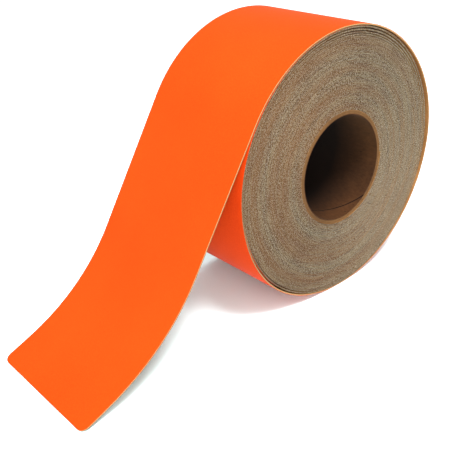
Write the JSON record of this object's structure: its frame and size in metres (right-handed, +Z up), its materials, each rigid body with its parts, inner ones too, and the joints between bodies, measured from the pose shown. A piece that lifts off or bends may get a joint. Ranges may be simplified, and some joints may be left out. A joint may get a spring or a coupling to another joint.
{
  "type": "grip tape roll",
  "caption": "Roll of grit-faced adhesive grip tape on a kraft release liner and a paperboard core, its free end drawn down to the floor and liftable, with a corner end that peels.",
  "frame": {"origin": "middle of the core bore, on the roll axis", "axes": "+Y along the roll axis, +Z up, free end towards -X"},
  "size_m": [0.3297, 0.1, 0.1937],
  "materials": {
    "core_liner_ply": "smooth kraft paper",
    "core_board": "spiral-wound paperboard",
    "core_outer_ply": "kraft paper",
    "release_liner": "kraft release paper",
    "adhesive": "tacky acrylic adhesive",
    "carrier_film": "PVC film edge",
    "grit_coat": "orange fine-grit coating"
  },
  "bodies": {
    "roll": {"core_inner_ply": "core_liner_ply", "core_board": "core_board", "core_outer_ply": "core_outer_ply", "liner_wound": "release_liner", "adhesive_wound": "adhesive", "film_wound": "carrier_film", "coat_wound": "grit_coat"},
    "free_end": {"liner_tail": "release_liner", "adhesive_tail": "adhesive", "film_tail": "carrier_film", "coat_tail": "grit_coat"},
    "peel_end": {"adhesive_flap": "adhesive", "film_flap": "carrier_film", "coat_flap": "grit_coat"}
  },
  "joints": [
    {"name": "tail_lift", "type": "hinge", "parent": "roll", "child": "free_end", "pos_m": [-0.08113, 0, 0.05343], "axis": [0, 1, 0], "range_deg": [0, 40]},
    {"name": "tape_peel", "type": "hinge", "parent": "free_end", "child": "peel_end", "pos_m": [-0.18542, 0, -0.07593], "axis": [0, 1, 0], "range_deg": [0, 70]}
  ]
}
